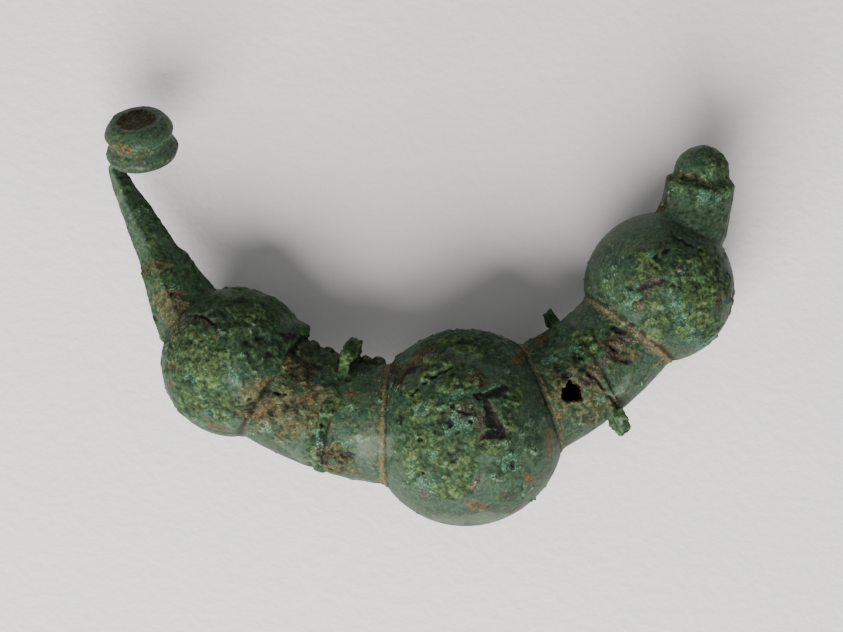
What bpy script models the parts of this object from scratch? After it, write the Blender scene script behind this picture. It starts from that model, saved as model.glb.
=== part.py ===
"""Bronze fibula brooch whose bow carries three balls, lying on its side on the balls.

The bow follows one arc that lies level. Its middle ball is the largest, and a
collar with a thin disc runs from it to the ball at each end. The foot leaves one
end ball as a ridged stem and ends in a spool-shaped knob with a cup. The head
leaves the other end ball as a short neck, broken off. Pin and spring are lost,
most of each disc is broken away, and one collar has a corroded hole.

Metres, +Z up. The part's origin is under the middle of its box, on the surface
that it lies on. The shapes are built round the centre of the bow's arc.
"""
import math

import bmesh
import bpy
from mathutils import Matrix, Vector

MM = 0.001
UP = Vector((0, 0, 1))

# Bow: one arc through the balls. Angles run anticlockwise from +X.
BOW_RADIUS = 32.4 * MM
MIDDLE_BALL_HEADING = 280.0
BALL_SPACING = 49.5
MIDDLE_BALL_RADIUS = 11.3 * MM
MIDDLE_BALL_OUTSET = 0.65 * MM
FOOT_BALL_RADIUS = 8.65 * MM
FOOT_BALL_OUTSET = 0.15 * MM
HEAD_BALL_RADIUS = 8.7 * MM
HEAD_BALL_OUTSET = 0.1 * MM
REST_FLAT_RADIUS = 1.2 * MM

# Collars between the balls, each with a disc half way along what shows of it.
FOOT_COLLAR_RADIUS = 6.85 * MM
FOOT_COLLAR_END_RADIUS = 6.6 * MM
HEAD_COLLAR_RADIUS = 6.45 * MM
HEAD_COLLAR_END_RADIUS = 6.05 * MM
FOOT_DISC_TURN = 26.3
HEAD_DISC_TURN = 26.6
HEAD_DISC_LEAN = -4.0
DISC_RADIUS = 9.15 * MM
DISC_ROOT_HEIGHT = 0.16 * MM
DISC_THICKNESS = 1.25 * MM
DISC_RIPPLE = 0.14 * MM
DISC_POINTS = 84
FOOT_DISC_FRAGMENTS = [(165, 30, 1.0), (70, 40, 0.25)]
HEAD_DISC_FRAGMENTS = [(12, 36, 0.84), (182, 13, 0.6)]

# Foot: a ridged stem that tapers from a broad root, with a small step part of the way along.
FOOT_HEADING = 120.7
FOOT_REACH = 27.4 * MM
FOOT_ROOT_OUTSET = 2.2 * MM
FOOT_TIP_OUTSET = 0.7 * MM
FOOT_TIP_HEIGHT = 6.9 * MM
FOOT_ROOT_SHARE = 0.25
FOOT_STEP_SHARE = 0.525
FOOT_ROOT_WIDTH = 9.2 * MM
FOOT_STEP_WIDTH = 5.85 * MM
FOOT_TIP_WIDTH = 1.6 * MM
FOOT_STEP_DEPTH = 0.36 * MM
FOOT_FLATNESS = 0.8

# Knob: a spool of two flanges with a narrow groove between, tilted up from the foot, with a cup in its face.
KNOB_SIDE_SHIFT = 3.76 * MM
KNOB_FORWARD_SHIFT = 1.3 * MM
KNOB_RISE = 1.2 * MM
KNOB_TILT = 57.0
KNOB_HEADING = 98.0
KNOB_LOWER_RADIUS = 4.3 * MM
KNOB_LOWER_THICKNESS = 2.45 * MM
KNOB_UPPER_RADIUS = 4.1 * MM
KNOB_UPPER_THICKNESS = 1.85 * MM
KNOB_GROOVE_RADIUS = 3.5 * MM
KNOB_GROOVE_WIDTH = 0.35 * MM
KNOB_CROWN_HEIGHT = 0.65 * MM
KNOB_CROWN_RADIUS = 3.1 * MM
KNOB_CUP_RADIUS = 2.3 * MM
KNOB_CUP_DEPTH = 0.4 * MM
KNOB_NECK_RADIUS = 1.5 * MM

# Head: a neck with a shoulder and a groove, then the stump of the lost spring.
HEAD_HEADING = 73.6
HEAD_REACH = 16.8 * MM
HEAD_BOW = 1.45 * MM
HEAD_TIP_HEIGHT = 11.3 * MM
NECK_ROOT_RADIUS = 4.35 * MM
NECK_RADIUS = 4.0 * MM
STUMP_RADIUS = 3.2 * MM
NECK_GROOVE_RADIUS = 3.15 * MM

# Damage: the hole in the head-side collar and the hollow that it opens.
HOLE_TURN = 20.4
HOLE_ROLL = 81.0
HOLE_RADIUS = 1.28 * MM
HOLLOW_RADIUS = 4.3 * MM
HOLLOW_LENGTH = 9.0 * MM

# Lumps of corrosion on the inner side of the foot-side collar, the last two on the disc's standing fragment:
# turn, roll, distance from the axis, radius.
SHOULDER_LUMP = (41.6, 172.0, 7.0 * MM, 1.3 * MM)
SMALL_LUMPS = [(36.2, 165.0, 6.5 * MM, 0.8 * MM), (32.4, 174.0, 6.4 * MM, 0.75 * MM),
               (22.4, 170.0, 6.75 * MM, 0.8 * MM), (19.6, 178.0, 6.75 * MM, 0.85 * MM),
               (26.2, 163.0, 8.0 * MM, 0.95 * MM), (26.4, 149.0, 7.9 * MM, 0.9 * MM)]
LUMP_STRETCH = 1.25

BALL_SEGMENTS = 40
BALL_RINGS = 20
KNOB_STEPS = 32
COLLAR_BEVEL_RESOLUTION = 16
COLLAR_STEPS = 12
CUTTER_MARGIN = 5 * MM


def clear_scene():
    for obj in list(bpy.data.objects):
        bpy.data.objects.remove(obj)


def make_collection(name):
    collection = bpy.data.collections.new(name)
    bpy.context.scene.collection.children.link(collection)
    return collection


def heading_vector(degrees):
    angle = math.radians(degrees)
    return Vector((math.cos(angle), math.sin(angle), 0))


def rest_height(ball_radius):
    """Height of a ball's centre once its underside is worn to the small flat that it rests on."""
    return math.sqrt(ball_radius**2 - REST_FLAT_RADIUS**2)


def end_ball_radius(side):
    """side is -1 towards the foot and 1 towards the head."""
    return FOOT_BALL_RADIUS if side < 0 else HEAD_BALL_RADIUS


def bow_axis(turn):
    """Point on the bow's axis, turn degrees from the middle ball, positive towards the head."""
    share = min(1, abs(turn) / BALL_SPACING)
    ease = share * share * (3 - 2 * share)
    low = rest_height(end_ball_radius(turn))
    height = rest_height(MIDDLE_BALL_RADIUS) * (1 - ease) + low * ease
    return heading_vector(MIDDLE_BALL_HEADING + turn) * BOW_RADIUS + UP * height


def bow_frame(turn):
    """Axes on the bow at turn: X outwards, Y up, Z along the bow towards the foot."""
    outwards = heading_vector(MIDDLE_BALL_HEADING + turn)
    step = 0.5
    along = (bow_axis(turn - step) - bow_axis(turn + step)).normalized()
    upwards = along.cross(outwards).normalized()
    outwards = upwards.cross(along)
    axes = Matrix((outwards, upwards, along)).transposed()
    return Matrix.Translation(bow_axis(turn)) @ axes.to_4x4()


def around_bow(turn, roll, distance):
    """Point at distance from the bow's axis. Roll 0 is outwards, 90 up and 180 inwards."""
    angle = math.radians(roll)
    local = Vector((math.cos(angle), math.sin(angle), 0)) * distance
    return bow_frame(turn) @ local


def ball_centre(side):
    """Centre of the foot-side ball (-1), the middle ball (0) or the head-side ball (1)."""
    outset = {-1: FOOT_BALL_OUTSET, 0: MIDDLE_BALL_OUTSET, 1: HEAD_BALL_OUTSET}[side]
    turn = side * BALL_SPACING
    return bow_axis(turn) + heading_vector(MIDDLE_BALL_HEADING + turn) * outset


def seam_turn(side):
    """How far from the middle ball a collar comes out of it and goes into the end ball."""
    collar, collar_end = collar_radii(side)
    leaves = math.degrees(math.sqrt(MIDDLE_BALL_RADIUS**2 - collar**2) / BOW_RADIUS)
    enters = math.degrees(math.sqrt(end_ball_radius(side) ** 2 - collar_end**2) / BOW_RADIUS)
    return leaves, BALL_SPACING - enters


def collar_radii(side):
    if side < 0:
        return FOOT_COLLAR_RADIUS, FOOT_COLLAR_END_RADIUS
    return HEAD_COLLAR_RADIUS, HEAD_COLLAR_END_RADIUS


def collar_radius_at(side, turn):
    """Radius of a collar's surface, which tapers from the middle ball to the end ball."""
    leaves, enters = seam_turn(side)
    share = min(1, max(0, (abs(turn) - leaves) / (enters - leaves)))
    start, end = collar_radii(side)
    return start + (end - start) * share


def new_object(name, mesh, collection):
    obj = bpy.data.objects.new(name, mesh)
    collection.objects.link(obj)
    return obj


def mesh_from_bmesh(name, bm, collection):
    bmesh.ops.recalc_face_normals(bm, faces=bm.faces)
    mesh = bpy.data.meshes.new(name)
    bm.to_mesh(mesh)
    bm.free()
    return new_object(name, mesh, collection)


def meshed(obj, collection):
    """A mesh object in place of a curve or of an object with modifiers, caps welded."""
    bpy.context.view_layer.update()
    graph = bpy.context.evaluated_depsgraph_get()
    mesh = bpy.data.meshes.new_from_object(obj.evaluated_get(graph))
    bm = bmesh.new()
    bm.from_mesh(mesh)
    bmesh.ops.remove_doubles(bm, verts=bm.verts, dist=0.00001)
    bmesh.ops.recalc_face_normals(bm, faces=bm.faces)
    bm.to_mesh(mesh)
    bm.free()
    name, matrix = obj.name, obj.matrix_world.copy()
    bpy.data.objects.remove(obj)
    made = new_object(name, mesh, collection)
    made.matrix_world = matrix
    return made


def make_ball(name, centre, radius, collection):
    bm = bmesh.new()
    bmesh.ops.create_uvsphere(bm, u_segments=BALL_SEGMENTS, v_segments=BALL_RINGS, radius=radius)
    obj = mesh_from_bmesh(name, bm, collection)
    obj.location = centre
    return obj


def make_tube(name, points, radii, collection, bevel_resolution):
    """Round tube along points, with its own radius at each, closed at both ends."""
    curve = bpy.data.curves.new(name, "CURVE")
    curve.dimensions = "3D"
    curve.bevel_depth = 1.0
    curve.bevel_resolution = bevel_resolution
    curve.use_fill_caps = True
    spline = curve.splines.new("POLY")
    spline.points.add(len(points) - 1)
    for spot, point, radius in zip(spline.points, points, radii):
        spot.co = (*point, 1)
        spot.radius = radius
    return meshed(new_object(name, curve, collection), collection)


def make_collar(name, side, collection):
    """Tapering tube along the bow, from the middle ball's centre to the end ball's centre."""
    turns = [side * BALL_SPACING * i / COLLAR_STEPS for i in range(COLLAR_STEPS + 1)]
    points = [bow_axis(turn) for turn in turns]
    radii = [collar_radius_at(side, turn) for turn in turns]
    return make_tube(name, points, radii, collection, COLLAR_BEVEL_RESOLUTION)


def bump(angle, centre, half_width):
    """1 near centre, falling smoothly to 0 at half_width from it. All in degrees."""
    away = abs((angle - centre + 180) % 360 - 180) / half_width
    return 0 if away >= 1 else (1 - away**3) ** 2


def make_disc(name, side, turn, lean, fragments, collection):
    """Thin disc on a collar, broken down to its root except for its fragments.

    Each fragment is its roll, its half width in degrees and the share of the disc's height that it keeps.
    """
    root = collar_radius_at(side, turn) + DISC_ROOT_HEIGHT
    outline = []
    for i in range(DISC_POINTS):
        roll = 360 * i / DISC_POINTS
        kept = max(share * bump(roll, at, half) for at, half, share in fragments)
        ripple = DISC_RIPPLE * math.sin(math.radians(5 * roll)) * math.sin(math.radians(3 * roll + 40))
        radius = root + ripple * (1 - kept) + (DISC_RADIUS - root) * kept
        angle = math.radians(roll)
        outline.append((radius * math.cos(angle), radius * math.sin(angle), 0))
    curve = bpy.data.curves.new(name, "CURVE")
    curve.dimensions = "2D"
    curve.fill_mode = "BOTH"
    curve.extrude = DISC_THICKNESS / 2
    spline = curve.splines.new("POLY")
    spline.points.add(DISC_POINTS - 1)
    spline.use_cyclic_u = True
    for spot, place in zip(spline.points, outline):
        spot.co = (*place, 1)
    obj = new_object(name, curve, collection)
    obj.matrix_world = bow_frame(turn) @ Matrix.Rotation(math.radians(lean), 4, "Y")
    return meshed(obj, collection)


def foot_path(share):
    """Point on the stem's axis, from beside the foot-side ball's centre to the tip."""
    forwards = heading_vector(FOOT_HEADING)
    outwards = UP.cross(forwards)
    start = ball_centre(-1) + outwards * FOOT_ROOT_OUTSET
    end = ball_centre(-1) + outwards * FOOT_TIP_OUTSET + forwards * FOOT_REACH
    end.z = FOOT_TIP_HEIGHT
    return start.lerp(end, share)


def head_path(share):
    """Point on the head's axis, which curves inwards and upwards from the ball's centre to the tip."""
    forwards = heading_vector(HEAD_HEADING)
    outwards = forwards.cross(UP)
    start = ball_centre(1)
    rise = (HEAD_TIP_HEIGHT - start.z) * share**2
    return start + forwards * HEAD_REACH * share + outwards * HEAD_BOW * 4 * share * (1 - share) + UP * rise


def foot_width(share):
    """Width of the stem: a tapering root, a small step, then a longer taper to the tip."""
    if share < FOOT_STEP_SHARE:
        along = (share - FOOT_ROOT_SHARE) / (FOOT_STEP_SHARE - FOOT_ROOT_SHARE)
        return FOOT_ROOT_WIDTH + (FOOT_STEP_WIDTH - FOOT_ROOT_WIDTH) * max(0, along)
    along = (share - FOOT_STEP_SHARE) / (1 - FOOT_STEP_SHARE)
    narrow = FOOT_STEP_WIDTH - 2 * FOOT_STEP_DEPTH
    return narrow + (FOOT_TIP_WIDTH - narrow) * along**1.3


def foot_section(share):
    """Six corners of the stem's section: a ridge on top nearer the outer edge, and a flat belly."""
    half = foot_width(share) / 2
    deep = half * FOOT_FLATNESS
    return [(-1.0 * half, 0.05 * deep), (-0.28 * half, 1.0 * deep), (0.55 * half, 0.62 * deep),
            (1.0 * half, -0.1 * deep), (0.5 * half, -0.85 * deep), (-0.5 * half, -0.85 * deep)]


def make_foot(collection):
    """Stem of the foot: a coarse cage lofted along the foot's axis and subdivided."""
    before, after = FOOT_STEP_SHARE - 0.005, FOOT_STEP_SHARE + 0.02
    shares = [0.05, FOOT_ROOT_SHARE, 0.38, 0.47, before, after, 0.62, 0.73, 0.84, 0.93, 1.0]
    along = (foot_path(1) - foot_path(0)).normalized()
    inwards = along.cross(UP).normalized()
    upwards = inwards.cross(along)
    step_ring = shares.index(before)
    bm = bmesh.new()
    crease = bm.edges.layers.float.new("crease_edge")
    rings = []
    for share in shares:
        centre = foot_path(share)
        rings.append([bm.verts.new(centre + inwards * x + upwards * y) for x, y in foot_section(share)])
    for ring, following in zip(rings, rings[1:]):
        for i in range(len(ring)):
            j = (i + 1) % len(ring)
            bm.faces.new((ring[i], ring[j], following[j], following[i]))
            if ring is rings[step_ring]:
                bm.edges.get((ring[i], ring[j]))[crease] = 0.9
        for corner, sharpness in ((0, 0.7), (1, 0.75), (3, 0.7)):
            bm.edges.get((ring[corner], following[corner]))[crease] = sharpness
    bm.faces.new(rings[0])
    bm.faces.new(reversed(rings[-1]))
    obj = mesh_from_bmesh("foot_stem", bm, collection)
    subdivision = obj.modifiers.new("soften", "SUBSURF")
    subdivision.levels = 1
    subdivision.render_levels = 1
    return meshed(obj, collection)


def knob_matrix():
    """Placement of the knob: origin at the middle of its lower flange, Z along its axis."""
    centre = foot_path(1) + Vector((KNOB_SIDE_SHIFT, KNOB_FORWARD_SHIFT, KNOB_RISE))
    tilt = math.radians(KNOB_TILT)
    axis = heading_vector(KNOB_HEADING) * math.sin(tilt) + UP * math.cos(tilt)
    return Matrix.Translation(centre) @ axis.to_track_quat("Z", "Y").to_matrix().to_4x4()


def flange_profile(radius, thickness, height):
    """Rounded edge of one flange: (radius, height) points from bottom to top."""
    half = thickness / 2
    angles = (-90, -45, 0, 45, 90)
    return [(radius - half + half * math.cos(math.radians(a)), height + half * math.sin(math.radians(a)))
            for a in angles]


def make_knob(collection):
    """Spool turned about its axis, with a low crown round a shallow cup."""
    lower_top = KNOB_LOWER_THICKNESS / 2
    upper_height = lower_top + KNOB_GROOVE_WIDTH + KNOB_UPPER_THICKNESS / 2
    crown_top = upper_height + KNOB_UPPER_THICKNESS / 2 + KNOB_CROWN_HEIGHT
    rising = [(0, -lower_top), *flange_profile(KNOB_LOWER_RADIUS, KNOB_LOWER_THICKNESS, 0)[:-1],
              (KNOB_GROOVE_RADIUS, lower_top), (KNOB_GROOVE_RADIUS, lower_top + KNOB_GROOVE_WIDTH),
              *flange_profile(KNOB_UPPER_RADIUS, KNOB_UPPER_THICKNESS, upper_height)[1:-1],
              (KNOB_CROWN_RADIUS, crown_top), (KNOB_CUP_RADIUS, crown_top),
              (KNOB_CUP_RADIUS * 0.8, crown_top - KNOB_CUP_DEPTH), (0, crown_top - KNOB_CUP_DEPTH)]
    mesh = bpy.data.meshes.new("foot_knob")
    points = [(radius, 0, height) for radius, height in reversed(rising)]
    mesh.from_pydata(points, [(i, i + 1) for i in range(len(points) - 1)], [])
    obj = new_object("foot_knob", mesh, collection)
    turning = obj.modifiers.new("turn", "SCREW")
    turning.steps = KNOB_STEPS
    turning.render_steps = KNOB_STEPS
    turning.use_merge_vertices = True
    turning.merge_threshold = 0.00001
    obj.matrix_world = knob_matrix()
    return meshed(obj, collection)


def make_knob_neck(collection):
    """Flaring neck from the stem's tip up into the middle of the knob's lower flange."""
    tip = foot_path(1)
    inside = knob_matrix().translation
    bm = bmesh.new()
    bmesh.ops.create_cone(bm, cap_ends=True, segments=16, radius1=FOOT_TIP_WIDTH * 0.5,
                          radius2=KNOB_NECK_RADIUS, depth=(inside - tip).length)
    obj = mesh_from_bmesh("knob_neck", bm, collection)
    turned = (inside - tip).to_track_quat("Z", "Y").to_matrix().to_4x4()
    obj.matrix_world = Matrix.Translation((tip + inside) / 2) @ turned
    return obj


def make_head(collection):
    """Neck out of the head-side ball, with a shoulder, a groove and the rounded stump beyond it."""
    stations = [(0.1, NECK_ROOT_RADIUS), (0.48, NECK_ROOT_RADIUS), (0.6, NECK_RADIUS * 1.02),
                (0.7, NECK_RADIUS), (0.77, NECK_RADIUS), (0.795, NECK_GROOVE_RADIUS * 1.1),
                (0.82, NECK_GROOVE_RADIUS), (0.85, STUMP_RADIUS), (0.9, STUMP_RADIUS * 0.93),
                (0.945, STUMP_RADIUS * 0.78), (0.98, STUMP_RADIUS * 0.52), (1.0, STUMP_RADIUS * 0.24)]
    points = [head_path(share) for share, _ in stations]
    return make_tube("head_neck", points, [radius for _, radius in stations], collection, 12)


def make_lump(name, lump, collection):
    """Lump of corrosion on the foot-side collar, drawn out upwards."""
    turn, roll, distance, radius = lump
    bm = bmesh.new()
    bmesh.ops.create_icosphere(bm, subdivisions=2, radius=radius)
    obj = mesh_from_bmesh(name, bm, collection)
    obj.location = around_bow(-turn, roll, distance)
    obj.scale = (1.0, 1.1, LUMP_STRETCH)
    return obj


def make_hollow_cutter(collection):
    """Egg-shaped hollow inside the head-side collar."""
    bm = bmesh.new()
    bmesh.ops.create_uvsphere(bm, u_segments=24, v_segments=12, radius=HOLLOW_RADIUS)
    obj = mesh_from_bmesh("collar_hollow", bm, collection)
    stretch = HOLLOW_LENGTH / (2 * HOLLOW_RADIUS)
    obj.matrix_world = bow_frame(HOLE_TURN) @ Matrix.Diagonal((1, 1, stretch, 1))
    return obj


def make_hole_cutter(collection):
    """Ragged hole from the hollow out through the collar's wall."""
    outside = around_bow(HOLE_TURN, HOLE_ROLL, HEAD_COLLAR_RADIUS + CUTTER_MARGIN)
    inside = around_bow(HOLE_TURN, HOLE_ROLL, HOLLOW_RADIUS / 2)
    bm = bmesh.new()
    length = (outside - inside).length
    bmesh.ops.create_cone(bm, cap_ends=True, segments=11, radius1=HOLE_RADIUS, radius2=HOLE_RADIUS,
                          depth=length)
    for vert in bm.verts:
        angle = math.atan2(vert.co.y, vert.co.x)
        ragged = 1 + 0.14 * math.sin(3 * angle + 0.6) + 0.07 * math.sin(5 * angle)
        vert.co.x *= ragged
        vert.co.y *= ragged
    obj = mesh_from_bmesh("collar_hole", bm, collection)
    turned = (outside - inside).to_track_quat("Z", "Y").to_matrix().to_4x4()
    obj.matrix_world = Matrix.Translation((outside + inside) / 2) @ turned
    return obj


def make_ground_cutter(collection):
    """Block under the surface that the part lies on. It wears each ball to its small flat."""
    size = 4 * BOW_RADIUS
    bm = bmesh.new()
    bmesh.ops.create_cube(bm, size=size)
    obj = mesh_from_bmesh("ground", bm, collection)
    obj.location = (0, 0, -size / 2)
    return obj


def boolean(target, other, operation):
    modifier = target.modifiers.new(other.name, "BOOLEAN")
    modifier.operation = operation
    modifier.solver = "EXACT"
    modifier.object = other


def make_material():
    """Green bronze patina."""
    material = bpy.data.materials.new("patinated_bronze")
    material.use_nodes = True
    shader = material.node_tree.nodes["Principled BSDF"]
    shader.inputs["Base Color"].default_value = (0.11, 0.16, 0.1, 1)
    shader.inputs["Roughness"].default_value = 0.75
    shader.inputs["Metallic"].default_value = 0.0
    return material


def stand_on_origin(root, obj):
    """Moves everything so that the part's box is centred over the origin and stands on Z = 0."""
    bpy.context.view_layer.update()
    graph = bpy.context.evaluated_depsgraph_get()
    mesh = obj.evaluated_get(graph).to_mesh()
    corners = [obj.matrix_world @ vert.co for vert in mesh.vertices]
    low = [min(corner[i] for corner in corners) for i in range(3)]
    high = [max(corner[i] for corner in corners) for i in range(3)]
    obj.evaluated_get(graph).to_mesh_clear()
    root.location = (-(low[0] + high[0]) / 2, -(low[1] + high[1]) / 2, -low[2])


def main():
    clear_scene()
    parts = make_collection("fibula_brooch")
    shapes = make_collection("shapes_and_cutters")

    fibula = make_ball("fibula", ball_centre(0), MIDDLE_BALL_RADIUS, parts)
    added = [
        make_ball("foot_ball", ball_centre(-1), FOOT_BALL_RADIUS, shapes),
        make_ball("head_ball", ball_centre(1), HEAD_BALL_RADIUS, shapes),
        make_collar("foot_collar", -1, shapes),
        make_collar("head_collar", 1, shapes),
        make_disc("foot_disc", -1, -FOOT_DISC_TURN, 0, FOOT_DISC_FRAGMENTS, shapes),
        make_disc("head_disc", 1, HEAD_DISC_TURN, HEAD_DISC_LEAN, HEAD_DISC_FRAGMENTS, shapes),
        make_foot(shapes),
        make_knob_neck(shapes),
        make_knob(shapes),
        make_head(shapes),
        make_lump("shoulder_lump", SHOULDER_LUMP, shapes),
    ]
    added += [make_lump(f"lump_{i + 1}", lump, shapes) for i, lump in enumerate(SMALL_LUMPS)]
    cut = [make_hollow_cutter(shapes), make_hole_cutter(shapes), make_ground_cutter(shapes)]
    for other in added:
        boolean(fibula, other, "UNION")
    for other in cut:
        boolean(fibula, other, "DIFFERENCE")
    for other in added + cut:
        other.hide_render = True
        other.display_type = "WIRE"
    fibula.data.materials.append(make_material())
    fibula.data.shade_smooth()

    root = bpy.data.objects.new("part_origin", None)
    parts.objects.link(root)
    bpy.context.view_layer.update()
    for obj in [fibula] + added + cut:
        matrix = obj.matrix_world.copy()
        obj.parent = root
        obj.matrix_world = matrix
    stand_on_origin(root, fibula)


main()
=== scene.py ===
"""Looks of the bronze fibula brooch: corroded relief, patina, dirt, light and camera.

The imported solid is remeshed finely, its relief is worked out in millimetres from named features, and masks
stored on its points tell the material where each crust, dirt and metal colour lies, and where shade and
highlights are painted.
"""

import math
from types import SimpleNamespace

import bpy
import numpy as np
from mathutils import Matrix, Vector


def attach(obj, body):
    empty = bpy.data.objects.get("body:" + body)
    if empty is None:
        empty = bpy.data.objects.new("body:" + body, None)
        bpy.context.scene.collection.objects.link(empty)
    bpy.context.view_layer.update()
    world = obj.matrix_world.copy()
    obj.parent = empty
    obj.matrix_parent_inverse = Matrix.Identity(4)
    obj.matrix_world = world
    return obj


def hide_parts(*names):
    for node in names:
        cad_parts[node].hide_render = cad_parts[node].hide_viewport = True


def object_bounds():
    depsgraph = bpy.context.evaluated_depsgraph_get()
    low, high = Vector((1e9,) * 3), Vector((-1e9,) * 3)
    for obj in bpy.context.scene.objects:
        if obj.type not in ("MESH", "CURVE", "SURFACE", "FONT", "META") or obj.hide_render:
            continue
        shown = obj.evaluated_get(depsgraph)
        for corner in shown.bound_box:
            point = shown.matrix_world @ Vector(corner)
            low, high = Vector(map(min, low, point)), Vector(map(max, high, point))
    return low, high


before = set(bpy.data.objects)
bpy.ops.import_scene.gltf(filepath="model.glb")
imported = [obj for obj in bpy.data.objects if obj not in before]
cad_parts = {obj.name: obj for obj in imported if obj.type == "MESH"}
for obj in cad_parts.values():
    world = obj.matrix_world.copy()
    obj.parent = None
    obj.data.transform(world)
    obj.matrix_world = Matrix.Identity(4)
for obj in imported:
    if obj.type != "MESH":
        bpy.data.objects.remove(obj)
cad_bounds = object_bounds()

MM = 0.001
MM_PER_METRE = 1000.0
VOXEL = 0.17
TRIANGLE_LIMIT = 196000

# Forms that the relief follows, in mm and degrees in the part's frame.
ARC_CENTRE = (-0.408, 19.677)
ARC_RADIUS = 32.4
MIDDLE_HEADING = 280.0
BALL_SPACING = 49.5
BALLS = {
    "foot": ((-21.112, -5.439, 8.566), 8.65),
    "middle": ((5.331, -12.871, 11.236), 11.3),
    "head": ((27.595, 3.182, 8.617), 8.7),
}
BALL_TURNS = {"foot": -BALL_SPACING, "middle": 0, "head": BALL_SPACING}
BALL_SLACK = 0.16
# Each collar's radius by the middle ball and by its end ball, and the turns between which it tapers.
COLLARS = {"foot": (6.85, 6.6), "head": (6.45, 6.05)}
COLLAR_START = 16
COLLAR_LENGTH = 20
DISCS = {
    "foot": ((-9.502, -11.421, 9.776), (-0.95, 0.278, -0.141)),
    "head": ((18.91, -6.334, 9.78), (-0.835, -0.533, 0.138)),
}
DISC_REACH = 11
KNOB_CENTRE = (-31.943, 19.063, 8.1)
KNOB_AXIS = (-0.117, 0.831, 0.545)
KNOB_BACK = -1.2
KNOB_REACH = 5.2
KNOB_GROOVE_RISE = 1.4
KNOB_FRONT_RISE = 2.05
HOLE = (17.3, -8.7)
HOLE_RIM_HEIGHT = 14.5
STEM_START = BALL_SPACING + 6
STEM_FAR_SIDE = (0.86, 0.51)
HEAD_LEAST_X = 20

# How much of each ball's seams with the collars is raised and tan: on its foot side, on its head side.
SEAM_SHARES = {"foot": (0.0, 0.3), "middle": (1.0, 0.75), "head": (1.0, 0.0)}

# Heights of the relief in mm, where a mask is full.
RISE = {"crust": 0.04, "seam": 0.15, "rim": 0.08, "orange": 0.04, "rib": 0.28, "ledge": 0.03, "waist": 0.12}
DEPTH = {"base": 0.05, "hollow": 0.35, "black": 0.16, "crack": 0.2, "purple": 0.06, "crease": 0.06,
         "groove": 0.1, "pock": 0.12, "disc_foot": 0.12}

# Fine grain of the materials.
CELL_BEND = 0.8 * MM
PATINA_BUMP = 0.16 * MM
PAPER_BUMP = 0.3 * MM

# Light and camera. The camera looks straight down, as in the photo.
KEY_PLACE = (-0.13, -0.42, 0.34)
KEY_SIZE = 0.56
KEY_WATTS = 10.1
KEY_COLOUR = (1.0, 0.985, 0.97)
SKY_STRENGTH = 0.28
FLOOR_SIZE = 3.0
PHOTO_WIDTH = 843
MM_PER_PIXEL = 0.115
CAMERA_PLACE = (0.245 * MM, -0.093 * MM)
CAMERA_HEIGHT = 0.4
FRAME_WIDTH = PHOTO_WIDTH * MM_PER_PIXEL * MM
FRAME_LEVEL = 9 * MM
SENSOR = 36.0

# Patches seen from above: x, y, half length, half width in mm, turn in degrees.
CRUST_PATCHES = [
    (2, -5.3, 1.4, 0.7, 10), (1.2, -6.7, 1.1, 0.6, 35), (3.9, -6.6, 3.3, 2, 0), (-0.9, -12, 1.8, 3.6, 0),
    (2.8, -14.3, 4.2, 5.6, 0), (3.6, -19.2, 2.5, 1.6, 0), (7.7, -14.5, 2.2, 1.3, 10),
    (9.7, -10.5, 1.3, 3, 0), (4.8, -3, 5, 1.5, 0), (-24.8, -3.8, 4.5, 4, 0), (-24.9, -8.9, 3.8, 2.7, 0),
    (-22, -10.4, 2.3, 1.8, 0), (-20.3, 0, 5.7, 2.9, 0), (-17.5, -3.8, 3.4, 2.7, 0),
    (-12.5, -5, 3.2, 3, -20), (-15.5, -10.8, 5, 3, -20), (-8.5, -5.2, 1.8, 2.3, 0), (-9.9, -9.5, 1.1, 2, 0),
    (-11.5, -14.5, 1.4, 3.2, 0), (-6.2, -5.2, 1.6, 1, 0), (-9.4, -15.7, 1.9, 1.5, 0),
    (17.6, -8, 3.9, 3.5, 0), (13.7, -3.3, 2.5, 2.5, 0), (22.7, -3.3, 2.5, 2.7, -40), (18.9, -4, 2, 3, -40),
    (31.6, 3.5, 3.6, 4.3, 0), (25.9, 5.4, 1.8, 1.6, 0), (27.7, -1, 2.7, 2, 0), (24.8, 2.4, 2.5, 2.5, -45),
    (32, -1.6, 2.3, 1.6, 0), (31.8, 14.3, 3.9, 1.8, -15), (34.7, 15.5, 0.8, 3, 0), (29.1, 15.5, 1, 1.6, 0),
    (33.1, 17.6, 1.1, 1, 0), (-29.8, 5.3, 2.5, 2, 20), (-28.8, 1.8, 2.3, 2.5, 30),
]
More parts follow.
